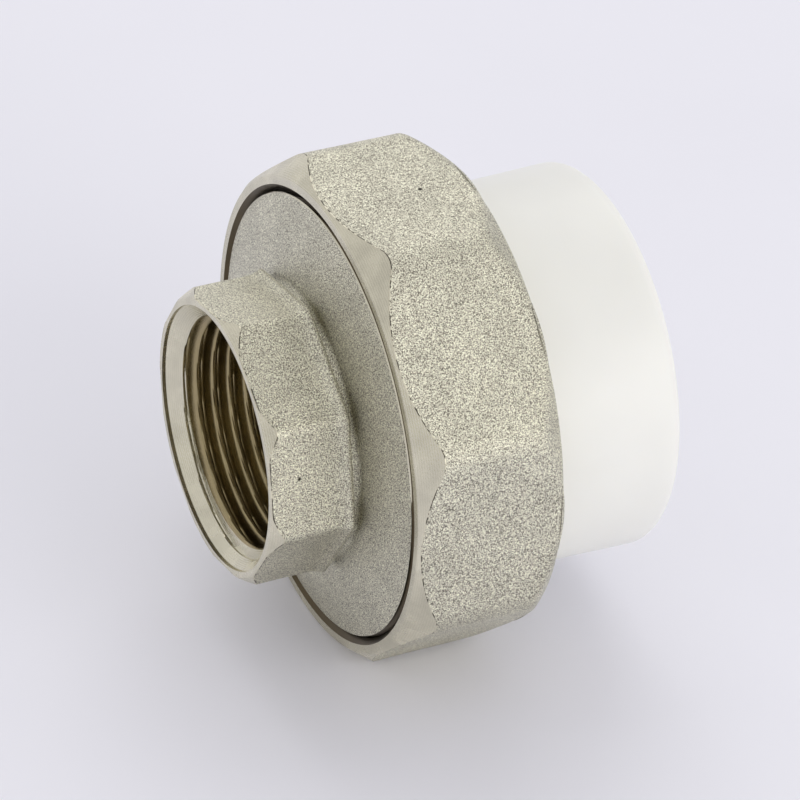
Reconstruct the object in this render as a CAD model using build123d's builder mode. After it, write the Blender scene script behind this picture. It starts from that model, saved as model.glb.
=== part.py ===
"""Pipe union: a plastic fusion socket joined to a threaded brass tailpiece by a loose octagon nut.

Every piece is coaxial with +X. The origin is the centre of the tailpiece's front face, the waterway
runs towards +X, and +Z is up with one flat of the nut facing down. All sizes are in millimetres.
"""
from build123d import *
import os
from math import pi, radians, tan

os.makedirs("parts", exist_ok=True)

# Whitworth thread form, shared by both threads
FLANK_ANGLE = 27.5             # half of the 55 degree thread angle
DEPTH = 0.640327               # thread depth, as a share of the pitch
RIDGE_OVERLAP = 0.05           # how far a thread ridge runs into the wall that it stands on

# Pipe thread in the tailpiece, size 3/4
PIPE_MAJOR = 26.441
PIPE_PITCH = 1.814
PIPE_THREAD_END = 15.0
TAPPING_BORE = 1.2             # length of the plain bore behind the last turn, drilled for the tap
LEAD_IN_CLEARANCE = 0.78       # radial, plain mouth to the thread's root
LEAD_IN_DEPTH = 0.4            # plain mouth, with a countersink behind it

# Joining thread between tailpiece and nut, size 1 1/2
JOIN_MAJOR = 47.803
JOIN_PITCH = 2.309
THREAD_CLEARANCE = 0.1         # radial, on each side of the basic thread form

# Octagon wrench section of the tailpiece
WRENCH_WALL = 1.28             # under the flats, outside the pipe thread's root
WRENCH_LENGTH = 9.0
WRENCH_CORNER = 1.2
WRENCH_BACK_EDGE = 0.5
WRENCH_FACE_STEP = 0.25        # the turned face reaches this far outside the flats
WRENCH_CHAMFER_LENGTH = 1.3
WRENCH_CHAMFER_RISE = 0.9
WRENCH_TURN = -12.0            # how far the octagon stands turned from the nut's, in degrees

# Flange of the tailpiece
NECK_LENGTH = 1.4              # octagon's back edge to the foot of the dome
NECK_WALL = 0.98               # outside the pipe thread's root
NECK_FILLET = 1.6
DOME_RISE = 1.0
RIM_CHAMFER = 0.4
THREAD_START = 1.2             # chamfer where the nut's thread starts onto the flange
FLANGE_LENGTH = 8.2            # threaded length, rim to sealing face

# Waterway and sealing
WATERWAY = 22.0                # bore through tailpiece, gasket and socket
GASKET_THICKNESS = 2.0
GASKET_INSET = 1.5             # gasket's bore stands this far outside the waterway
GASKET_RELIEF = 0.4            # gasket's outer edge stands this far inside the collar's

# Plastic socket
COLLAR_THICKNESS = 3.5
COLLAR_CLEARANCE = 0.2         # radial, collar to the nut's thread crests on the way in
BODY_WALL = 4.15               # beside the nut, outside the pipe
BODY_TAPER = 0.4               # growth in radius towards the mouth
BODY_END_ROUND = 1.4
COLLAR_ROUND = 0.5
PIPE_DIAMETER = 32.0
FUSION_INTERFERENCE = 0.7      # the socket is this much smaller than the pipe it is fused to
SOCKET_DEPTH = 18.1
STOP_SHOULDER = 3.8            # plastic left between the sealing face and the pipe's stop
MOUTH_CHAMFER = 0.6

# Union nut
FLAT_DOWN = 22.5               # turns an octagon from a corner to a flat facing -Z
NUT_WALL = 1.5                 # under the flats, outside the thread's root
NUT_CORNER = 4.1
NUT_FACE_STEP = 0.2            # the turned face stops this far inside the flats
NUT_BACK_STEP = 0.15           # the same for the back
NUT_CORNER_CUT = 0.78          # rise of the cuts across the corners, for each unit along the axis
NUT_BACK_ROUND = 0.8
NUT_FACE_SETBACK = 0.1         # the nut's face stands this far in front of the flange's rim
NUT_MOUTH_CHAMFER = 0.33       # radial, outside the thread's root
LIP_THICKNESS = 2.4
LIP_CLEARANCE = 0.6            # radial, lip to the plastic body
RELIEF_WALL = 0.2              # relief behind the thread, outside the thread's root
THREAD_RUN_OUT = 0.3           # the nut's thread stops this far short of the relief

# Places along the axis
RIM_X = WRENCH_LENGTH + NECK_LENGTH + DOME_RISE
SEAL_X = RIM_X + FLANGE_LENGTH
COLLAR_X = SEAL_X + GASKET_THICKNESS
LIP_X = COLLAR_X + COLLAR_THICKNESS
NUT_X = RIM_X - NUT_FACE_SETBACK
NUT_END_X = LIP_X + LIP_THICKNESS
NUT_CENTRE_X = (NUT_X + NUT_END_X) / 2
STOP_X = COLLAR_X + STOP_SHOULDER
MOUTH_X = STOP_X + SOCKET_DEPTH

# Radii of the threads
join_minor_radius = JOIN_MAJOR / 2 - DEPTH * JOIN_PITCH
join_crest_radius = JOIN_MAJOR / 2 - THREAD_CLEARANCE
join_root_radius = join_minor_radius - THREAD_CLEARANCE
nut_root_radius = JOIN_MAJOR / 2 + THREAD_CLEARANCE
nut_crest_radius = join_minor_radius + THREAD_CLEARANCE
pipe_root_radius = PIPE_MAJOR / 2
pipe_crest_radius = PIPE_MAJOR / 2 - DEPTH * PIPE_PITCH

# Sizes that follow from the threads, the pipe and the waterway
lead_in_radius = pipe_root_radius + LEAD_IN_CLEARANCE
wrench_flats = 2 * (pipe_root_radius + WRENCH_WALL)
wrench_face_radius = wrench_flats / 2 + WRENCH_FACE_STEP
neck_radius = pipe_root_radius + NECK_WALL
nut_flats = 2 * (nut_root_radius + NUT_WALL)
nut_face_radius = nut_flats / 2 - NUT_FACE_STEP
nut_back_radius = nut_flats / 2 - NUT_BACK_STEP
nut_mouth_radius = nut_root_radius + NUT_MOUTH_CHAMFER
collar_radius = nut_crest_radius - COLLAR_CLEARANCE
body_radius = PIPE_DIAMETER / 2 + BODY_WALL
lip_radius = body_radius + LIP_CLEARANCE
socket_radius = (PIPE_DIAMETER - FUSION_INTERFERENCE) / 2
waterway_radius = WATERWAY / 2
gasket_bore_radius = waterway_radius + GASKET_INSET
tapping_bore_x = PIPE_THREAD_END + pipe_root_radius - pipe_crest_radius


def helical_tooth(pitch, root, crest, first_x, last_x):
    """Sweep one thread tooth along a right-hand helix about X, from first_x to last_x.

    The tooth narrows from its root radius to its crest radius, outwards or inwards, and is half a
    pitch wide half way between them. It reaches RIDGE_OVERLAP into the wall that it stands on.
    """
    into_wall = RIDGE_OVERLAP if root > crest else -RIDGE_OVERLAP
    base = root + into_wall
    middle = (root + crest) / 2
    slope = tan(radians(FLANK_ANGLE))
    half_base = pitch / 4 + slope * abs(base - middle)
    half_crest = pitch / 4 - slope * abs(crest - middle)
    with BuildPart() as tooth:
        with BuildLine():
            helix = Helix(pitch, last_x - first_x, middle, center=(first_x, 0, 0), direction=(1, 0, 0))
        with BuildSketch(Plane.XZ):
            with BuildLine():
                Polyline(
                    (first_x - half_base, base),
                    (first_x + half_base, base),
                    (first_x + half_crest, crest),
                    (first_x - half_crest, crest),
                    close=True,
                )
            make_face()
        sweep(path=helix, is_frenet=True)
    return tooth.part


# rim_thread: the flange's male thread, trimmed to the flange's ends and their chamfers
with BuildPart() as rim_thread:
    add(helical_tooth(JOIN_PITCH, join_root_radius, join_crest_radius,
                      RIM_X - JOIN_PITCH, SEAL_X + JOIN_PITCH))
    with BuildSketch(Plane.XZ):
        with BuildLine():
            Polyline(
                (RIM_X, 0),
                (RIM_X, join_crest_radius - RIM_CHAMFER),
                (RIM_X + 2 * RIM_CHAMFER, join_crest_radius + RIM_CHAMFER),
                (SEAL_X - THREAD_START - RIM_CHAMFER, join_crest_radius + RIM_CHAMFER),
                (SEAL_X, join_crest_radius - THREAD_START),
                (SEAL_X, 0),
                close=True,
            )
        make_face()
    revolve(axis=Axis.X, mode=Mode.INTERSECT)

# nut_thread: the nut's female thread, half a pitch out of step with the flange's, cut by the mouth
with BuildPart() as nut_thread:
    add(helical_tooth(JOIN_PITCH, nut_root_radius, nut_crest_radius,
                      RIM_X - 1.5 * JOIN_PITCH, SEAL_X + JOIN_PITCH / 2))
    with BuildSketch(Plane.XZ):
        with BuildLine():
            Polyline(
                (NUT_X, nut_mouth_radius),
                (NUT_X, nut_face_radius),
                (SEAL_X - THREAD_RUN_OUT, nut_face_radius),
                (SEAL_X - THREAD_RUN_OUT, collar_radius),
                (NUT_X + nut_mouth_radius - collar_radius, collar_radius),
                close=True,
            )
        make_face()
    revolve(axis=Axis.X, mode=Mode.INTERSECT)

# pipe_thread: the tailpiece's female thread, cut back by the countersink
with BuildPart() as pipe_thread:
    add(helical_tooth(PIPE_PITCH, pipe_root_radius, pipe_crest_radius,
                      -PIPE_PITCH, PIPE_THREAD_END + PIPE_PITCH))
    with BuildSketch(Plane.XZ):
        with BuildLine():
            Polyline(
                (LEAD_IN_DEPTH, lead_in_radius),
                (LEAD_IN_DEPTH, wrench_flats / 2),
                (PIPE_THREAD_END, wrench_flats / 2),
                (PIPE_THREAD_END, waterway_radius),
                (LEAD_IN_DEPTH + lead_in_radius - waterway_radius, waterway_radius),
                close=True,
            )
        make_face()
    revolve(axis=Axis.X, mode=Mode.INTERSECT)

# threaded_tailpiece: octagon wrench section, domed flange, male rim thread, female pipe thread
with BuildPart() as threaded_tailpiece:
    with BuildSketch(Plane.YZ):
        octagon = RegularPolygon(wrench_flats / 2, 8, major_radius=False,
                                 rotation=FLAT_DOWN + WRENCH_TURN)
        fillet(octagon.vertices(), WRENCH_CORNER)
    extrude(amount=WRENCH_LENGTH)
    fillet(threaded_tailpiece.faces().sort_by(Axis.X)[-1].edges(), WRENCH_BACK_EDGE)
    with BuildSketch(Plane.XZ):
        with BuildLine():
            Polyline(
                (0, 0),
                (0, wrench_face_radius),
                (2 * WRENCH_CHAMFER_LENGTH, wrench_face_radius + 2 * WRENCH_CHAMFER_RISE),
                (WRENCH_LENGTH, wrench_face_radius + 2 * WRENCH_CHAMFER_RISE),
                (WRENCH_LENGTH, 0),
                close=True,
            )
        make_face()
    revolve(axis=Axis.X, mode=Mode.INTERSECT)
    with BuildSketch(Plane.XZ) as flange_profile:
        with BuildLine():
            Polyline(
                (WRENCH_LENGTH - WRENCH_BACK_EDGE, 0),
                (WRENCH_LENGTH - WRENCH_BACK_EDGE, neck_radius),
                (RIM_X - DOME_RISE, neck_radius),
                (RIM_X, join_crest_radius - RIM_CHAMFER),
                (RIM_X + RIM_CHAMFER, join_root_radius),
                (SEAL_X, join_root_radius),
                (SEAL_X, 0),
                close=True,
            )
        make_face()
        neck = flange_profile.vertices().sort_by_distance((RIM_X - DOME_RISE, neck_radius))[0]
        fillet(neck, NECK_FILLET)
    revolve(axis=Axis.X)
    add(rim_thread.part)
    with BuildSketch(Plane.XZ):
        with BuildLine():
            Polyline(
                (0, 0),
                (0, lead_in_radius),
                (LEAD_IN_DEPTH, lead_in_radius),
                (LEAD_IN_DEPTH + lead_in_radius - pipe_root_radius, pipe_root_radius),
                (PIPE_THREAD_END, pipe_root_radius),
                (tapping_bore_x, pipe_crest_radius),
                (tapping_bore_x + TAPPING_BORE, pipe_crest_radius),
                (tapping_bore_x + TAPPING_BORE + pipe_crest_radius - waterway_radius, waterway_radius),
                (SEAL_X, waterway_radius),
                (SEAL_X, 0),
                close=True,
            )
        make_face()
    revolve(axis=Axis.X, mode=Mode.SUBTRACT)
    add(pipe_thread.part)
threaded_tailpiece.part.label = "threaded_tailpiece"
export_step(threaded_tailpiece.part, "parts/threaded_tailpiece.step")

# union_nut: octagon with its corners cut at both ends, thread at the front, lip at the back
with BuildPart() as union_nut:
    with BuildSketch(Plane.YZ.offset(NUT_X)):
        nut_octagon = RegularPolygon(nut_flats / 2, 8, major_radius=False, rotation=FLAT_DOWN)
        fillet(nut_octagon.vertices(), NUT_CORNER)
    extrude(amount=NUT_END_X - NUT_X)
    with BuildSketch(Plane.XZ) as corner_cuts:
        with BuildLine():
            Polyline(
                (NUT_X, 0),
                (NUT_X, nut_face_radius),
                (NUT_CENTRE_X, nut_face_radius + NUT_CORNER_CUT * (NUT_CENTRE_X - NUT_X)),
                (NUT_CENTRE_X, nut_back_radius + NUT_CORNER_CUT * (NUT_END_X - NUT_CENTRE_X)),
                (NUT_END_X, nut_back_radius),
                (NUT_END_X, 0),
                close=True,
            )
        make_face()
        back_edge = corner_cuts.vertices().sort_by_distance((NUT_END_X, nut_back_radius))[0]
        fillet(back_edge, NUT_BACK_ROUND)
    revolve(axis=Axis.X, mode=Mode.INTERSECT)
    with BuildSketch(Plane.XZ):
        with BuildLine():
            Polyline(
                (NUT_X, 0),
                (NUT_X, nut_mouth_radius),
                (NUT_X + nut_mouth_radius - nut_root_radius, nut_root_radius),
                (SEAL_X, nut_root_radius),
                (SEAL_X, nut_root_radius + RELIEF_WALL),
                (LIP_X, nut_root_radius + RELIEF_WALL),
                (LIP_X, lip_radius),
                (NUT_END_X, lip_radius),
                (NUT_END_X, 0),
                close=True,
            )
        make_face()
    revolve(axis=Axis.X, mode=Mode.SUBTRACT)
    add(nut_thread.part)
union_nut.part.label = "union_nut"
export_step(union_nut.part, "parts/union_nut.step")

# sealing_gasket: flat ring between the tailpiece's sealing face and the socket's collar
with BuildPart() as sealing_gasket:
    with BuildSketch(Plane.YZ.offset(SEAL_X)):
        Circle(collar_radius - GASKET_RELIEF)
        Circle(gasket_bore_radius, mode=Mode.SUBTRACT)
    extrude(amount=GASKET_THICKNESS)
sealing_gasket.part.label = "sealing_gasket"
export_step(sealing_gasket.part, "parts/sealing_gasket.step")

# pipe_socket: collar held by the nut, tapered body, fusion socket for the pipe
with BuildPart() as pipe_socket:
    with BuildSketch(Plane.XZ) as socket_profile:
        with BuildLine():
            Polyline(
                (COLLAR_X, waterway_radius),
                (COLLAR_X, collar_radius),
                (LIP_X, collar_radius),
                (LIP_X, body_radius),
                (MOUTH_X, body_radius + BODY_TAPER),
                (MOUTH_X, socket_radius + MOUTH_CHAMFER),
                (MOUTH_X - MOUTH_CHAMFER, socket_radius),
                (STOP_X, socket_radius),
                (STOP_X, waterway_radius),
                close=True,
            )
        make_face()
        end_corner = socket_profile.vertices().sort_by_distance((MOUTH_X, body_radius + BODY_TAPER))[0]
        fillet(end_corner, BODY_END_ROUND)
        front_corner = socket_profile.vertices().sort_by_distance((COLLAR_X, collar_radius))[0]
        fillet(front_corner, COLLAR_ROUND)
    revolve(axis=Axis.X)
pipe_socket.part.label = "pipe_socket"
export_step(pipe_socket.part, "parts/pipe_socket.step")

print("joining thread in metres per radian:", JOIN_PITCH / 1000 / (2 * pi))
print("overall length:", MOUTH_X)
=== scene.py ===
"""Looks of a pipe union: nickel plated brass tailpiece and nut, gasket and plastic socket."""
import math
import random

import bmesh
import bpy
from mathutils import Euler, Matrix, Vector, noise


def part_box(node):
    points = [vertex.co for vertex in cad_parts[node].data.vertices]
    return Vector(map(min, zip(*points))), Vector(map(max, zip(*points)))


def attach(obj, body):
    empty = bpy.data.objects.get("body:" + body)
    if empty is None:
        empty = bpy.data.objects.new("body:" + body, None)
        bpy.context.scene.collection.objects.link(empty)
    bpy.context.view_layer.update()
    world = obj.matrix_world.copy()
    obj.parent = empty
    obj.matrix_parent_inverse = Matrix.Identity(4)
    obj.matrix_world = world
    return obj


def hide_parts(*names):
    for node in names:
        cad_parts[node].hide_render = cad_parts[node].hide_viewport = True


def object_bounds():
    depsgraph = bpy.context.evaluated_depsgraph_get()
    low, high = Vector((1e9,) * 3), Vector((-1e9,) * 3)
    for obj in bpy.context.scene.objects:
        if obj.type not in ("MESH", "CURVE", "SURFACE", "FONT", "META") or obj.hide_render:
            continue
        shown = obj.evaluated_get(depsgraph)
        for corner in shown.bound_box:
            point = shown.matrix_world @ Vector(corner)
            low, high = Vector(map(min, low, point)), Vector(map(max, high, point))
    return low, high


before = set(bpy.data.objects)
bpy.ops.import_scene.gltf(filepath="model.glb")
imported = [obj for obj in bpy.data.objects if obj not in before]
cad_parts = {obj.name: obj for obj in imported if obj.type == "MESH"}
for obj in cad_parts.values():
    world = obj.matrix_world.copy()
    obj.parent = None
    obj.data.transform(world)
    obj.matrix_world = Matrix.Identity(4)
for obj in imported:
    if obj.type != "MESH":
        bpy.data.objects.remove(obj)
cad_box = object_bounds()

bl_info = {
    "name": "Pipe union",
    "version": (1, 0, 0),
    "blender": (4, 5, 0),
    "location": "3D View > Sidebar > Pipe Union",
    "description": "Builds the visible pieces of a pipe union around its packed CAD model",
    "category": "Object",
}

MM = 0.001
FLAT_DOWN = math.radians(22.5)   # corner of an octagon nearest to straight up, with a flat below
HALF_SIDE = math.radians(22.5)   # half of the angle that one side of an octagon covers
STEPS = 360                      # faces round each turned piece

nut_low, nut_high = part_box("union_nut")
tail_low, tail_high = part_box("threaded_tailpiece")
socket_low, socket_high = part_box("pipe_socket")
gasket_low, gasket_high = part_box("sealing_gasket")

# ------------------------------------------------------------------ colours


def linear(hex_colour):
    """Turn an sRGB hex colour into the linear values that shaders and properties take."""
    channels = [int(hex_colour[i:i + 2], 16) / 255 for i in (0, 2, 4)]
    return tuple(c / 12.92 if c <= 0.04045 else ((c + 0.055) / 1.055) ** 2.4 for c in channels)


def length(name, description, default):
    """A length property in metres."""
    return bpy.props.FloatProperty(name=name, description=description, default=default,
                                   unit="LENGTH", precision=5)


def colour(name, description, hex_colour):
    """A colour property from an sRGB hex value."""
    return bpy.props.FloatVectorProperty(name=name, description=description, subtype="COLOR",
                                         default=linear(hex_colour), min=0, max=1)


class UnionThreads(bpy.types.PropertyGroup):
    """The two Whitworth pipe threads."""
    join_pitch: length("Joining pitch", "Pitch of the thread between nut and tailpiece", 2.309 * MM)
    join_depth: length("Joining depth", "Depth of the thread between nut and tailpiece", 1.479 * MM)
    join_slack: length("Thread slack", "Radial clearance on each thread surface", 0.1 * MM)
    pipe_pitch: length("Pipe pitch", "Pitch of the tailpiece's female thread", 1.814 * MM)
    pipe_depth: length("Pipe depth", "Depth of the tailpiece's female thread", 1.162 * MM)
    pipe_major: length("Pipe major radius", "Root radius of the female thread", 13.22 * MM)
    pipe_end: length("Pipe thread end", "Where the female thread ends", 15.0 * MM)


class UnionSizes(bpy.types.PropertyGroup):
    """Sizes of the pieces that the CAD boxes don't give."""
    wrench_flats: length("Wrench flats", "Tailpiece octagon across flats", 29 * MM)
    wrench_corner: length("Wrench corner", "Rounding of the tailpiece octagon's corners", 1.2 * MM)
    wrench_face: length("Wrench face", "Outer radius of the tailpiece's turned face", 14.75 * MM)
    wrench_back: length("Wrench back", "Where the tailpiece's octagon ends", 9 * MM)
    wrench_turn: bpy.props.FloatProperty(
        name="Wrench turn", description="Tailpiece octagon's turn against the nut's",
        default=math.radians(-12), subtype="ANGLE")
    neck: length("Neck", "Radius of the neck behind the octagon", 14.2 * MM)
    neck_fillet: length("Neck fillet", "Radius of the fillet from neck to dome", 0.9 * MM)
    dome_foot: length("Dome foot", "Where the dome leaves the neck", 10.4 * MM)
    rim: length("Rim", "Where the dome meets the flange's rim", 11.4 * MM)
    lead_in: length("Lead-in", "Radius of the plain mouth of the female thread", 14 * MM)
    waterway: length("Waterway", "Radius of the bore through the union", 11 * MM)
    nut_corner: length("Nut corner", "Rounding of the nut's corners", 4.1 * MM)
    nut_face: length("Nut face", "Outer radius of the nut's turned face", 25.3 * MM)
    nut_mouth: length("Nut mouth", "Radius of the nut's mouth at its face", 24.33 * MM)
    nut_back: length("Nut back", "Outer radius of the nut's back face", 25.35 * MM)
    nut_round: length("Nut back round", "Rounding of the nut's back edge", 0.8 * MM)
    lip: length("Nut lip", "Length of the lip behind the collar", 2.4 * MM)
    lip_hole: length("Lip hole", "Radius of the hole in the nut's lip", 20.75 * MM)
    body: length("Socket body", "Radius of the plastic body beside the nut", 20.15 * MM)
    body_mouth: length("Socket mouth", "Radius of the plastic body at its mouth", 20.55 * MM)
    body_round: length("Socket end round", "Rounding of the plastic body's end", 1.4 * MM)
    pipe_bore: length("Pipe bore", "Radius of the socket that takes the pipe", 15.65 * MM)
    pipe_stop: length("Pipe stop", "Depth of the socket that takes the pipe", 18.1 * MM)


class UnionColours(bpy.types.PropertyGroup):
    """Colours of the finishes and the stage."""
    blasted: colour("Blasted nickel", "Nickel plate over blasted forged brass", "DED8C5")
    turned: colour("Turned nickel", "Nickel plate over turned brass", "DFDAC5")
    thread: colour("Cut thread", "Thin nickel plate over cut threads", "A89A76")
    # painted shade: the joining threads sit deep in the gap between nut and tailpiece, and this dark
    # colour paints the shade there
    joint: colour("Joining thread", "Joining threads, dark with plating stain", "5C5240")
    burr: colour("Burr", "Dark line of burr beside a turned cut", "3A352C")
    plastic: colour("Polypropylene", "White socket plastic", "F1F1EC")
    rubber: colour("EPDM", "Black gasket rubber", "1C1C1D")
    floor: colour("Floor", "Pale floor", "F0F0F8")
    sky: colour("Studio light", "Pale light from all round", "F4F3F5")


GROUPS = (UnionThreads, UnionSizes, UnionColours)

# ------------------------------------------------------------------ shapes

NUT_CONE = 0.78          # rise of the nut's corner cuts for each unit along the axis
WRENCH_CONE = 0.69       # the same for the tailpiece's octagon
EDGE_BREAK = 0.12 * MM   # width of the small rounding where a face was turned
BURR_WIDTH = 0.11 * MM   # strip of burr beside each turned cut
RELIEF = 0.2 * MM        # how far the relief behind the nut's thread lies outside its root
RUN_OUT = 0.3 * MM       # how far the nut's thread stops short of that relief
FORGED_WAVE = 0.035 * MM  # height of the slow waves left by forging
FORGED_LENGTH = 4 * MM   # length of those waves
RIDGE = 0.4 * MM         # height of the flare at the back of the tailpiece's octagon
DOME_CROWN = 0.14 * MM   # bulge of the flange's dome between neck and rim


def octagon_radius(angle, flats, corner, turn):
    """Radius of an octagon with rounded corners, in the direction of an angle about the axis."""
    off = abs((angle - turn) % (2 * HALF_SIDE) - HALF_SIDE)
    centre = (flats / 2 - corner) / math.cos(HALF_SIDE)
    touch = math.atan2(corner * math.sin(HALF_SIDE), centre + corner * math.cos(HALF_SIDE))
    if off > touch:
        return flats / 2 / math.cos(HALF_SIDE - off)
    return centre * math.cos(off) + math.sqrt(corner ** 2 - (centre * math.sin(off)) ** 2)


def arc(x, radius, size, start, end, zone, parts=6):
    """Stations along an arc about (x, radius), its two ends included. Angles are in degrees."""
    angles = [math.radians(start + (end - start) * i / parts) for i in range(parts + 1)]
    return [(x + size * math.cos(a), radius + size * math.sin(a), zone, 0) for a in angles]


def forged_wave(x, angle, radius):
    """Slow waves of a forged surface at a place on it."""
    place = Vector((x, -radius * math.sin(angle), radius * math.cos(angle)))
    return FORGED_WAVE * noise.noise(place / FORGED_LENGTH)


def thread_wave(x, angle, pitch, first):
    """Height of a right-hand thread, from -0.5 at its root to 0.5 at the crest of its tooth."""
    return 0.5 * math.cos(2 * math.pi * ((x - first) / pitch - angle / (2 * math.pi)))


def turned_piece(name, outline, finishes, steps=STEPS, threads=None):
    """Spin an outline about X, then give each angle its own outline, and return the object.

    outline(angle) lists stations (x, radius, zone of the stretch that follows, cuts in it), closed.
    finishes maps a zone to its material. threads maps a zone to radius(x, angle).
    """
    threads = threads or {}
    first = outline(0.0)
    bm = bmesh.new()
    row = bm.verts.layers.float.new("row")
    corners = [bm.verts.new((x, 0, radius)) for x, radius, zone, cuts in first + first[:1]]
    for number, vert in enumerate(corners):
        vert[row] = number
    for ends in zip(corners, corners[1:]):
        bm.edges.new(ends)
    for number, (x, radius, zone, cuts) in enumerate(first):
        if cuts:
            edge = next(e for e in bm.edges if {v[row] for v in e.verts} == {number, number + 1})
            bmesh.ops.subdivide_edges(bm, edges=[edge], cuts=cuts)
    bmesh.ops.spin(bm, geom=bm.verts[:] + bm.edges[:], cent=(0, 0, 0), axis=(1, 0, 0), dvec=(0, 0, 0),
                   angle=2 * math.pi, steps=steps, use_merge=True, use_duplicate=False)
    outlines = {}
    for vert in bm.verts:
        angle = math.atan2(-vert.co.y, vert.co.z) % (2 * math.pi)
        key = round(angle / (2 * math.pi) * steps)
        if key not in outlines:
            outlines[key] = outline(angle)
        stations = outlines[key]
        number = min(int(vert[row] + 1e-4), len(stations) - 1)
        share = vert[row] - number
        x0, r0, zone, cuts = stations[number]
        x1, r1, next_zone, cuts = stations[(number + 1) % len(stations)]
        x, radius = x0 + share * (x1 - x0), r0 + share * (r1 - r0)
        before = stations[number - 1][2]
        for threaded in (zone, before if share < 1e-4 else zone):
            if threaded in threads:
                radius = threads[threaded](x, angle)
        if zone == "blasted":
            radius += forged_wave(x, angle, radius)
        vert.co = (x, -radius * math.sin(angle), radius * math.cos(angle))
    zones = list(finishes)
    for face in bm.faces:
        number = int(min(vert[row] for vert in face.verts) + 1e-3)
        face.material_index = zones.index(first[number][2])
        face.smooth = True
    bmesh.ops.remove_doubles(bm, verts=bm.verts[:], dist=1e-6)
    bmesh.ops.dissolve_degenerate(bm, edges=bm.edges[:], dist=1e-7)
    bmesh.ops.recalc_face_normals(bm, faces=bm.faces[:])
    for edge in bm.edges:
        edge.smooth = len(edge.link_faces) == 2 and edge.calc_face_angle(0) < math.radians(28)
    mesh = bpy.data.meshes.new(name)
    bm.to_mesh(mesh)
    bm.free()
    piece = bpy.data.objects.new(name, mesh)
    bpy.context.collection.objects.link(piece)
    for material in finishes.values():
        piece.data.materials.append(material)
    return piece


def stand_for(piece, node, body):
    """Put a finished piece in the place of its CAD node."""
    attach(piece, body)
    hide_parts(node)


# ------------------------------------------------------------------ materials


def add_node(tree, kind, settings=None, inputs=None):
    """Add a node, set its own settings, and set or link its inputs."""
    node = tree.nodes.new(kind)
    for key, value in (settings or {}).items():
        setattr(node, key, value)
    for key, value in (inputs or {}).items():
        if isinstance(value, bpy.types.NodeSocket):
            tree.links.new(value, node.inputs[key])
        else:
            node.inputs[key].default_value = value
    return node


def new_material(name):
    """Start a material with its shader, its output and the object's own coordinates."""
    material = bpy.data.materials.new(name)
    material.use_nodes = True
    tree = material.node_tree
    tree.nodes.clear()
    shader = add_node(tree, "ShaderNodeBsdfPrincipled")
    add_node(tree, "ShaderNodeOutputMaterial", inputs={"Surface": shader.outputs["BSDF"]})
    place = add_node(tree, "ShaderNodeTexCoord").outputs["Object"]
    return material, tree, shader, place


def shade(rgb, factor):
    """A colour made lighter or darker, with its alpha."""
    return tuple(min(1.0, c * factor) for c in rgb) + (1.0,)


def noise_field(tree, place, size, detail=2.0, roughness=0.5):
    """A noise whose grains are about size metres across."""
    return add_node(tree, "ShaderNodeTexNoise", {"noise_dimensions": "3D"},
                    {"Vector": place, "Scale": 1 / size, "Detail": detail,
                     "Roughness": roughness}).outputs["Fac"]


def colour_ramp(tree, factor, stops):
    """A ramp through (place, colour) stops."""
    node = add_node(tree, "ShaderNodeValToRGB", inputs={"Fac": factor})
    ramp = node.color_ramp
    for place, rgba in stops[2:]:
        ramp.elements.new(place)
    for element, (place, rgba) in zip(ramp.elements, sorted(stops)):
        element.position = place
        element.color = rgba
    return node.outputs["Color"]


def blasted_nickel(rgb):
    """Nickel plate over shot-blasted forged brass: a bright, sandy satin that sparkles grain by grain."""
    material, tree, shader, place = new_material("nickel_plated_brass_blasted")
    grain = noise_field(tree, place, 0.12 * MM, 1.0, 0.6)    # shot dimples, about 0.1 mm across
    patch = noise_field(tree, place, 5 * MM)                 # slow change in how hard it was blasted
    sandy = colour_ramp(tree, grain, [(0.36, shade(rgb, 0.26)), (0.66, shade(rgb, 1.45)),
                                      (0.48, shade(rgb, 0.84))])
    cloudy = colour_ramp(tree, patch, [(0.3, (0.86, 0.86, 0.86, 1)), (0.7, (1, 1, 1, 1))])
    plate = add_node(tree, "ShaderNodeMix", {"data_type": "RGBA", "blend_type": "MULTIPLY"},
                     {"Factor": 1.0, 6: sandy, 7: cloudy}).outputs[2]
    pit = add_node(tree, "ShaderNodeTexVoronoi", {"feature": "F1"},
                   {"Vector": place, "Scale": 1 / (9 * MM)}).outputs["Distance"]
    pitted = colour_ramp(tree, pit, [(0.018, (0.05, 0.045, 0.04, 1)), (0.034, (1, 1, 1, 1))])
    plate = add_node(tree, "ShaderNodeMix", {"data_type": "RGBA", "blend_type": "MULTIPLY"},
                     {"Factor": 1.0, 6: plate, 7: pitted}).outputs[2]
    rough = add_node(tree, "ShaderNodeMapRange", inputs={"Value": grain, "To Min": 0.52,
                                                         "To Max": 0.3}).outputs["Result"]
    bump = add_node(tree, "ShaderNodeBump", inputs={"Height": grain, "Strength": 1.0,
                                                    "Distance": 0.1 * MM})
    tree.links.new(plate, shader.inputs["Base Color"])
    tree.links.new(rough, shader.inputs["Roughness"])
    tree.links.new(bump.outputs["Normal"], shader.inputs["Normal"])
    shader.inputs["Metallic"].default_value = 1.0
    return material


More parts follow.
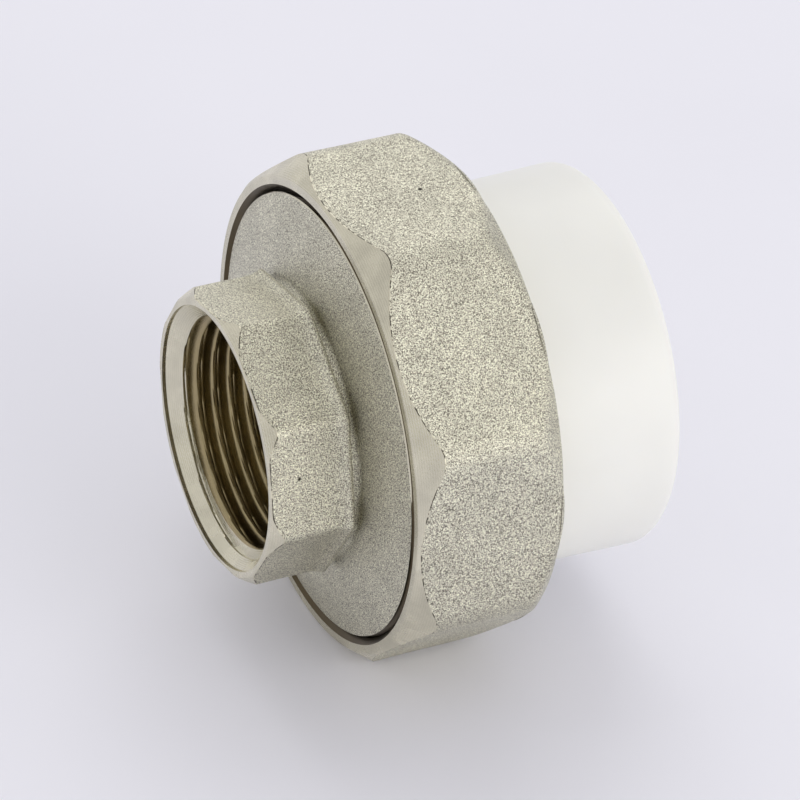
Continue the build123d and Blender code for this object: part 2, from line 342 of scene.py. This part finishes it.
def turned_nickel(name, rgb, feed, roughness, depth):
    """Nickel plate over lathe-turned brass: smooth satin with fine rings where the tool went round, and
    streaks of sheen along the rings painted into its colour.
    """
    material, tree, shader, place = new_material(name)
    rings = add_node(tree, "ShaderNodeTexWave", {"wave_type": "RINGS", "rings_direction": "X"},
                     {"Vector": place, "Scale": math.pi / (10 * feed), "Distortion": 3.5,
                      "Detail": 3.0, "Detail Scale": 2.0}).outputs["Fac"]
    stain = noise_field(tree, place, 3 * MM, 3.0)
    plate = colour_ramp(tree, stain, [(0.3, shade(rgb, 0.84)), (0.7, shade(rgb, 1.06))])
    # painted sheen: the colour is a little darker between the tool rings, streaks that stand in for light
    # catching the rings
    painted_ring_sheen = colour_ramp(tree, rings, [(0.1, (0.93, 0.93, 0.92, 1)), (0.8, (1, 1, 1, 1))])
    plate = add_node(tree, "ShaderNodeMix", {"data_type": "RGBA", "blend_type": "MULTIPLY"},
                     {"Factor": 1.0, 6: plate, 7: painted_ring_sheen}).outputs[2]
    rough = add_node(tree, "ShaderNodeMapRange",
                     inputs={"Value": stain, "To Min": roughness * 0.8,
                             "To Max": roughness * 1.3}).outputs["Result"]
    bump = add_node(tree, "ShaderNodeBump", inputs={"Height": rings, "Strength": 1.0,
                                                    "Distance": depth})
    tree.links.new(plate, shader.inputs["Base Color"])
    tree.links.new(rough, shader.inputs["Roughness"])
    tree.links.new(bump.outputs["Normal"], shader.inputs["Normal"])
    shader.inputs["Metallic"].default_value = 1.0
    return material


def burr_line(rgb, plate_rgb):
    """Torn burr beside a turned cut: a broken dark line between two bright surfaces."""
    material, tree, shader, place = new_material("nickel_plated_brass_burr")
    tear = noise_field(tree, place, 1.1 * MM, 3.0, 0.7)
    torn = colour_ramp(tree, tear, [(0.47, shade(plate_rgb, 0.9)), (0.54, shade(rgb, 1.0))])
    tree.links.new(torn, shader.inputs["Base Color"])
    shader.inputs["Metallic"].default_value = 1.0
    shader.inputs["Roughness"].default_value = 0.45
    return material


def moulded_polypropylene(rgb):
    """Injection-moulded polypropylene: milky, softly glossy, with a faint orange peel."""
    material, tree, shader, place = new_material("polypropylene_moulded_white")
    peel = noise_field(tree, place, 1.2 * MM, 2.0)
    cloud = noise_field(tree, place, 14 * MM)
    milk = colour_ramp(tree, cloud, [(0.3, shade(rgb, 0.95)), (0.7, shade(rgb, 1.0))])
    bump = add_node(tree, "ShaderNodeBump", inputs={"Height": peel, "Strength": 0.5,
                                                    "Distance": 0.02 * MM})
    tree.links.new(milk, shader.inputs["Base Color"])
    tree.links.new(bump.outputs["Normal"], shader.inputs["Normal"])
    shader.inputs["Roughness"].default_value = 0.42
    shader.inputs["IOR"].default_value = 1.49
    shader.inputs["Subsurface Weight"].default_value = 0.25
    shader.inputs["Subsurface Radius"].default_value = (1.0, 0.95, 0.85)
    shader.inputs["Subsurface Scale"].default_value = 1.5 * MM
    return material


def moulded_epdm(rgb):
    """Moulded EPDM rubber: black, dry, faintly chalky."""
    material, tree, shader, place = new_material("epdm_moulded_black")
    chalk = noise_field(tree, place, 0.8 * MM, 3.0)
    skin = colour_ramp(tree, chalk, [(0.3, shade(rgb, 0.8)), (0.7, shade(rgb, 1.5))])
    bump = add_node(tree, "ShaderNodeBump", inputs={"Height": chalk, "Strength": 0.6,
                                                    "Distance": 0.03 * MM})
    tree.links.new(skin, shader.inputs["Base Color"])
    tree.links.new(bump.outputs["Normal"], shader.inputs["Normal"])
    shader.inputs["Roughness"].default_value = 0.7
    return material


def studio_floor(rgb):
    """Matt paper sweep: pale and even."""
    material, tree, shader, place = new_material("paper_sweep")
    fibre = noise_field(tree, place, 40 * MM)
    paper = colour_ramp(tree, fibre, [(0.3, shade(rgb, 0.985)), (0.7, shade(rgb, 1.0))])
    tree.links.new(paper, shader.inputs["Base Color"])
    shader.inputs["Roughness"].default_value = 0.9
    return material


def metal_finishes(colours):
    """The brass pieces' four finishes, made once and shared."""
    if "nickel_plated_brass_blasted" not in bpy.data.materials:
        blasted_nickel(colours.blasted)
        turned_nickel("nickel_plated_brass_turned", colours.turned, 0.16 * MM, 0.25, 0.012 * MM)
        turned_nickel("nickel_plated_brass_thread", colours.thread, 0.08 * MM, 0.22, 0.003 * MM)
        # the joining threads' finish: the thread finish made rougher, and darker to paint the shade deep
        # in the gap between nut and tailpiece
        turned_nickel("nickel_plated_brass_joint", colours.joint, 0.08 * MM, 0.35, 0.003 * MM)
        burr_line(colours.burr, colours.turned)
    return {zone: bpy.data.materials[f"nickel_plated_brass_{zone}"]
            for zone in ("turned", "burr", "blasted", "thread", "joint")}


# ------------------------------------------------------------------ pieces


class UNION_OT_nut(bpy.types.Operator):
    """Build the octagon union nut"""
    bl_idname = "union.nut"
    bl_label = "Union Nut"

    def execute(self, context):
        sizes, threads = context.scene.union_sizes, context.scene.union_threads
        front, back = nut_low.x, nut_high.x
        flats = nut_high.z - nut_low.z
        seal = tail_high.x
        root = tail_high.z + 2 * threads.join_slack
        middle = root - threads.join_depth / 2

        def thread(x, angle):
            wave = thread_wave(x, angle, threads.join_pitch, sizes.rim - threads.join_pitch)
            return max(middle + threads.join_depth * wave, sizes.nut_mouth - (x - front))

        def outline(angle):
            edge = octagon_radius(angle, flats, sizes.nut_corner, 0)
            face = min(sizes.nut_face, edge)
            cut = max(EDGE_BREAK, (edge + forged_wave(front, angle, edge) - sizes.nut_face) / NUT_CONE)
            rise = (edge - sizes.nut_back) / NUT_CONE
            soft = 0.5 * MM
            lip = back - sizes.lip
            relief = root + RELIEF
            turns = round((seal - front) / threads.join_pitch * 14)
            return [
                (front, sizes.nut_mouth, "turned", 3),
                (front, face - EDGE_BREAK, "turned", 0),
                (front + EDGE_BREAK / 3, face - EDGE_BREAK / 3, "turned", 4),
                (front + cut, edge, "burr", 0),
                (front + cut + BURR_WIDTH, edge, "blasted", 14),
                (back - rise - soft, edge, "blasted", 0),
                (back - rise - soft / 2, edge - 0.1 * soft * NUT_CONE, "blasted", 0),
                (back - rise, edge - 0.35 * soft * NUT_CONE, "blasted", 0),
                (back - rise + soft / 2, edge - 0.65 * soft * NUT_CONE, "blasted", 2),
                (back - 0.45 * sizes.nut_round, sizes.nut_back + 0.2 * sizes.nut_round, "blasted", 0),
                (back - 0.25 * sizes.nut_round, sizes.nut_back - 0.05 * sizes.nut_round, "blasted", 0),
                (back - 0.08 * sizes.nut_round, sizes.nut_back - 0.3 * sizes.nut_round, "blasted", 0),
                (back, sizes.nut_back - 0.6 * sizes.nut_round, "turned", 2),
                (back, sizes.lip_hole + 2 * EDGE_BREAK, "turned", 0),
                (back - 2 * EDGE_BREAK, sizes.lip_hole, "turned", 0),
                (lip, sizes.lip_hole, "turned", 0),
                (lip, relief, "turned", 0),
                (seal, relief, "turned", 0),
                (seal, root, "turned", 0),
                # the nut's joining thread, in the finish darkened as painted shade
                (seal - RUN_OUT, middle, "joint", turns),
            ]

        piece = turned_piece("nut_shell", outline, metal_finishes(context.scene.union_colours),
                             threads={"joint": thread})
        stand_for(piece, "union_nut", "nut")
        return {"FINISHED"}


class UNION_OT_tailpiece(bpy.types.Operator):
    """Build the threaded tailpiece"""
    bl_idname = "union.tailpiece"
    bl_label = "Threaded Tailpiece"

    def execute(self, context):
        sizes, threads = context.scene.union_sizes, context.scene.union_threads
        seal, crest = tail_high.x, tail_high.z
        join_middle = crest - threads.join_depth / 2
        pipe_middle = threads.pipe_major - threads.pipe_depth / 2
        pipe_crest = threads.pipe_major - threads.pipe_depth
        tap = threads.pipe_end + threads.pipe_depth
        lead_end = 0.4 * MM
        rim_start = crest - 0.4 * MM
        tail_start = seal - 1.2 * MM

        def male(x, angle):
            wave = thread_wave(x, angle, threads.join_pitch, sizes.rim - threads.join_pitch)
            cut = min(rim_start + x - sizes.rim, crest - (x - tail_start))
            return min(join_middle + threads.join_depth * wave, cut)

        def female(x, angle):
            wave = thread_wave(x, angle, threads.pipe_pitch, -threads.pipe_pitch)
            return max(pipe_middle - threads.pipe_depth * wave, sizes.lead_in - (x - lead_end))

        def outline(angle):
            edge = octagon_radius(angle, sizes.wrench_flats, sizes.wrench_corner, sizes.wrench_turn)
            face = min(sizes.wrench_face, edge)
            cut = max(EDGE_BREAK, (edge + forged_wave(0, angle, edge) - sizes.wrench_face) / WRENCH_CONE)
            back = sizes.wrench_back
            fillet = sizes.neck_fillet
            foot = back - 0.03 * MM
            join_turns = round((seal - sizes.rim) / threads.join_pitch * 14)
            pipe_turns = round(threads.pipe_end / threads.pipe_pitch * 14)
            return [
                (0, sizes.lead_in, "turned", 2),
                (0, face - EDGE_BREAK, "turned", 0),
                (EDGE_BREAK / 3, face - EDGE_BREAK / 3, "turned", 3),
                (cut, edge, "burr", 0),
                (cut + BURR_WIDTH, edge, "blasted", 6),
                (back - 2.2 * MM, edge, "blasted", 0),
                (back - 1.5 * MM, edge + 0.12 * RIDGE, "blasted", 0),
                (back - 1.0 * MM, edge + 0.45 * RIDGE, "blasted", 0),
                (back - 0.6 * MM, edge + 0.9 * RIDGE, "blasted", 0),
                (back - 0.4 * MM, edge + RIDGE, "blasted", 0),
                (back - 0.2 * MM, edge + 0.9 * RIDGE, "blasted", 0),
                (back - 0.05 * MM, edge + 0.5 * RIDGE, "blasted", 0),
                (foot, max(edge - 0.4 * MM, sizes.neck + 0.05 * MM), "blasted", 0),
                *arc(foot, sizes.neck + fillet, fillet, -90, -6.2, "blasted", 8),
                *dome(sizes, rim_start),
                (sizes.rim, rim_start, "turned", 0),
                # the flange's joining thread, in the finish darkened as painted shade
                (sizes.rim + EDGE_BREAK, rim_start + EDGE_BREAK, "joint", join_turns),
                (seal, crest - 1.2 * MM, "turned", 3),
                (seal, sizes.waterway, "turned", 2),
                (tap + 1.2 * MM + pipe_crest - sizes.waterway, sizes.waterway, "turned", 0),
                (tap + 1.2 * MM, pipe_crest, "turned", 0),
                (tap, pipe_crest, "turned", 0),
                (threads.pipe_end, threads.pipe_major, "bore", pipe_turns),
                (lead_end + sizes.lead_in - pipe_crest, threads.pipe_major, "mouth", 9),
                (lead_end + sizes.lead_in - threads.pipe_major, threads.pipe_major, "turned", 3),
                (lead_end, sizes.lead_in, "turned", 0),
            ]

        finishes = metal_finishes(context.scene.union_colours)
        finishes["bore"] = finishes["thread"]
        finishes["mouth"] = finishes["turned"]
        piece = turned_piece("tailpiece_body", outline, finishes,
                             threads={"joint": male, "bore": female, "mouth": female})
        stand_for(piece, "threaded_tailpiece", "tailpiece")
        return {"FINISHED"}


def dome(sizes, rim_start):
    """Stations of the flange's slightly crowned dome, from the neck's fillet to the rim."""
    x0, r0 = sizes.wrench_back + 0.97 * sizes.neck_fillet, sizes.neck + 0.95 * sizes.neck_fillet
    shares = [i / 8 for i in range(1, 8)]
    return [(x0 + (sizes.rim - x0) * t - DOME_CROWN * 4 * t * (1 - t), r0 + (rim_start - r0) * t,
             "blasted", 0) for t in shares]


class UNION_OT_socket(bpy.types.Operator):
    """Build the plastic pipe socket"""
    bl_idname = "union.socket"
    bl_label = "Pipe Socket"

    def execute(self, context):
        sizes = context.scene.union_sizes
        front, mouth, collar = socket_low.x, socket_high.x, socket_high.z
        collar_back = nut_high.x - sizes.lip
        stop = mouth - sizes.pipe_stop
        end, small = sizes.body_round, 0.5 * MM

        def outline(angle):
            return [
                (front, sizes.waterway, "plastic", 4),
                *arc(front + small, collar - small, small, 180, 90, "plastic", 4),
                (collar_back, collar, "plastic", 0),
                (collar_back, sizes.body, "plastic", 10),
                *arc(mouth - end, sizes.body_mouth - end, end, 88, 0, "plastic", 8),
                (mouth, sizes.pipe_bore + small, "plastic", 0),
                (mouth - small, sizes.pipe_bore, "plastic", 8),
                (stop, sizes.pipe_bore, "plastic", 3),
                (stop, sizes.waterway + small, "plastic", 0),
                (stop - small, sizes.waterway, "plastic", 2),
            ]

        plastic = moulded_polypropylene(context.scene.union_colours.plastic)
        piece = turned_piece("socket_moulding", outline, {"plastic": plastic})
        stand_for(piece, "pipe_socket", "socket_half")
        return {"FINISHED"}


class UNION_OT_gasket(bpy.types.Operator):
    """Build the sealing gasket"""
    bl_idname = "union.gasket"
    bl_label = "Sealing Gasket"

    def execute(self, context):
        front, back, outer = gasket_low.x, gasket_high.x, gasket_high.z
        inner = 12.5 * MM
        small = 0.3 * MM

        def outline(angle):
            return [
                *arc(front + small, outer - small, small, 180, 90, "rubber", 4),
                *arc(back - small, outer - small, small, 90, 0, "rubber", 4),
                *arc(back - small, inner + small, small, 0, -90, "rubber", 4),
                *arc(front + small, inner + small, small, -90, -180, "rubber", 4),
            ]

        rubber = moulded_epdm(context.scene.union_colours.rubber)
        piece = turned_piece("gasket_ring", outline, {"rubber": rubber}, steps=180)
        stand_for(piece, "sealing_gasket", "socket_half")
        return {"FINISHED"}


# ------------------------------------------------------------------ stage

CAMERA_TARGET = (18.1 * MM, -5.8 * MM, 4.0 * MM)
CAMERA_DISTANCE = 0.512
CAMERA_AZIMUTH = -26.28
CAMERA_ELEVATION = 35.1
CAMERA_ROLL = 2.85
CAMERA_LENS = 225        # a long lens, in millimetres on a 36 mm sensor


def look(azimuth, elevation):
    """Direction from the object to somewhere, given as degrees like the camera's own."""
    a, e = math.radians(azimuth), math.radians(elevation)
    return Vector((math.sin(a) * math.cos(e), -math.cos(a) * math.cos(e), math.sin(e)))


def softbox(name, azimuth, elevation, distance, width, height, power, rgb):
    """Add a square soft light that faces the object."""
    data = bpy.data.lights.new(name, "AREA")
    data.shape = "RECTANGLE"
    data.size, data.size_y = width, height
    data.energy = power
    data.color = rgb
    lamp = bpy.data.objects.new(name, data)
    back = look(azimuth, elevation)
    lamp.location = Vector(CAMERA_TARGET) + back * distance
    lamp.rotation_euler = back.to_track_quat("Z", "Y").to_euler()
    bpy.context.collection.objects.link(lamp)


class UNION_OT_stage(bpy.types.Operator):
    """Add the floor, the studio light and the camera"""
    bl_idname = "union.stage"
    bl_label = "Stage"

    def execute(self, context):
        colours = context.scene.union_colours
        bm = bmesh.new()
        bmesh.ops.create_circle(bm, cap_ends=True, segments=96, radius=6)
        bmesh.ops.translate(bm, verts=bm.verts[:], vec=(0, 0, cad_box[0].z))
        mesh = bpy.data.meshes.new("floor")
        bm.to_mesh(mesh)
        bm.free()
        floor = bpy.data.objects.new("floor", mesh)
        context.collection.objects.link(floor)
        floor.data.materials.append(studio_floor(colours.floor))

        world = bpy.data.worlds.new("studio")
        context.scene.world = world
        world.use_nodes = True
        tree = world.node_tree
        way = add_node(tree, "ShaderNodeTexCoord").outputs["Generated"]
        height = add_node(tree, "ShaderNodeSeparateXYZ", inputs={"Vector": way}).outputs["Z"]
        tent = colour_ramp(tree, height, [(0.05, shade(colours.sky, 1.0)), (0.9, shade(colours.sky, 0.8))])
        tree.links.new(tent, tree.nodes["Background"].inputs["Color"])
        tree.nodes["Background"].inputs["Strength"].default_value = 0.88

        softbox("key", 23, 18, 0.9, 0.6, 0.6, 2.4, (1.0, 0.98, 0.93))
        softbox("window", 165, 52, 2.4, 2.0, 2.0, 15.5, (1.0, 0.99, 0.98))

        data = bpy.data.cameras.new("camera")
        data.sensor_width = 36
        data.lens = CAMERA_LENS
        data.clip_start, data.clip_end = 0.01, 20
        camera = bpy.data.objects.new("camera", data)
        back = look(CAMERA_AZIMUTH, CAMERA_ELEVATION)
        camera.location = Vector(CAMERA_TARGET) + back * CAMERA_DISTANCE
        upright = back.to_track_quat("Z", "Y")
        roll = Euler((0, 0, math.radians(CAMERA_ROLL))).to_quaternion()
        camera.rotation_euler = (upright @ roll).to_euler()
        context.collection.objects.link(camera)
        context.scene.camera = camera
        context.scene.view_settings.view_transform = "Standard"
        return {"FINISHED"}


class UNION_PT_panel(bpy.types.Panel):
    """Sidebar panel with the union's sizes, colours and builders"""
    bl_idname = "UNION_PT_panel"
    bl_label = "Pipe Union"
    bl_space_type = "VIEW_3D"
    bl_region_type = "UI"
    bl_category = "Pipe Union"

    def draw(self, context):
        for operator in BUILDERS + (UNION_OT_stage,):
            self.layout.operator(operator.bl_idname)
        for group in (context.scene.union_threads, context.scene.union_sizes,
                      context.scene.union_colours):
            box = self.layout.box()
            for name in group.__annotations__:
                box.prop(group, name)


BUILDERS = (UNION_OT_tailpiece, UNION_OT_nut, UNION_OT_gasket, UNION_OT_socket)
CLASSES = GROUPS + BUILDERS + (UNION_OT_stage, UNION_PT_panel)


def register():
    """Register the classes and hang the settings on the scene."""
    for cls in CLASSES:
        bpy.utils.register_class(cls)
    bpy.types.Scene.union_threads = bpy.props.PointerProperty(type=UnionThreads)
    bpy.types.Scene.union_sizes = bpy.props.PointerProperty(type=UnionSizes)
    bpy.types.Scene.union_colours = bpy.props.PointerProperty(type=UnionColours)


def unregister():
    """Take the settings and the classes away again."""
    del bpy.types.Scene.union_colours, bpy.types.Scene.union_sizes, bpy.types.Scene.union_threads
    for cls in reversed(CLASSES):
        bpy.utils.unregister_class(cls)


def main():
    register()
    bpy.ops.union.tailpiece()
    bpy.ops.union.nut()
    bpy.ops.union.gasket()
    bpy.ops.union.socket()
    bpy.ops.union.stage()


if __name__ == "__main__":
    main()
